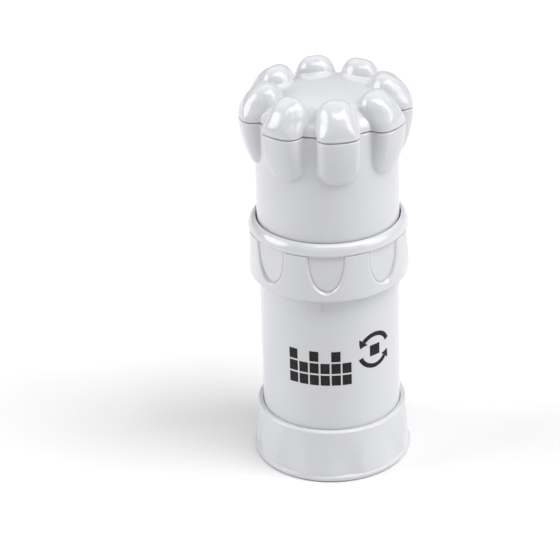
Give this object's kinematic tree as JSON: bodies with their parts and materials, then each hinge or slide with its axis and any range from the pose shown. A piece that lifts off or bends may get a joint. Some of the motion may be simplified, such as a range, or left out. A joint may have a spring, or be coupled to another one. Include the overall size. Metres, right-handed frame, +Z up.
{
  "type": "garlic press",
  "caption": "Twist garlic dicer: a clove-shaped screw knob pushes a pin plate through a blade grid into a storage tube on a cup base.",
  "frame": {"origin": "centre of the foot, on the surface the press stands on", "axes": "+Z up along the press's axis, -Y to the front, where a collar petal faces"},
  "size_m": [0.0698, 0.0698, 0.1678],
  "materials": {
    "white_plastic": "gloss white moulded plastic",
    "inner_plastic": "semi-gloss white moulded plastic",
    "frosted_plastic": "milky translucent plastic",
    "blade_steel": "thin stainless blade strip",
    "screw_steel": "plated steel",
    "silicone": "soft grey silicone"
  },
  "bodies": {
    "base": {"base_cup": "white_plastic", "foot_ring": "silicone", "base_seal": "silicone"},
    "container": {"storage_tube": "white_plastic"},
    "head": {"petal_collar": "white_plastic", "pressing_chamber": "inner_plastic", "rim_gasket": "silicone", "chamber_screw_1": "screw_steel", "chamber_screw_2": "screw_steel", "chamber_screw_3": "screw_steel", "chamber_screw_4": "screw_steel"},
    "cutter": {"insert_frame": "frosted_plastic", "long_blade_1": "blade_steel", "long_blade_2": "blade_steel", "long_blade_3": "blade_steel", "long_blade_4": "blade_steel", "long_blade_5": "blade_steel", "long_blade_6": "blade_steel", "long_blade_7": "blade_steel", "cross_blade_1": "blade_steel", "cross_blade_2": "blade_steel", "cross_blade_3": "blade_steel", "cross_blade_4": "blade_steel", "cross_blade_5": "blade_steel", "cross_blade_6": "blade_steel", "cross_blade_7": "blade_steel", "cross_blade_8": "blade_steel"},
    "plunger": {"pusher_plate": "inner_plastic", "plunger_stem": "inner_plastic", "pusher_screw_1": "screw_steel", "pusher_screw_2": "screw_steel", "thrust_washer": "frosted_plastic", "swivel_washer": "screw_steel", "swivel_screw": "screw_steel"},
    "knob": {"knob_barrel": "white_plastic", "crown_cap": "white_plastic"}
  },
  "joints": [
    {"name": "tube_lift", "type": "slide", "parent": "base", "child": "container", "axis": [0, 0, 1], "range_m": [0, 0.04]},
    {"name": "head_lift", "type": "slide", "parent": "container", "child": "head", "axis": [0, 0, 1], "range_m": [0, 0.06]},
    {"name": "insert_release", "type": "slide", "parent": "head", "child": "cutter", "axis": [0, 0, -1], "range_m": [0, 0.03]},
    {"name": "plunger_press", "type": "slide", "parent": "head", "child": "plunger", "axis": [0, 0, -1], "range_m": [-0.013, 0.013]},
    {"name": "knob_turn", "type": "hinge", "parent": "plunger", "child": "knob", "pos_m": [0, 0, 0.148], "axis": [0, 0, -1], "range_deg": [-195.5, 195.5]}
  ],
  "couplings": [
    {"joint": "knob_turn", "follows": "plunger_press", "rad_per_m": 261.8}
  ]
}
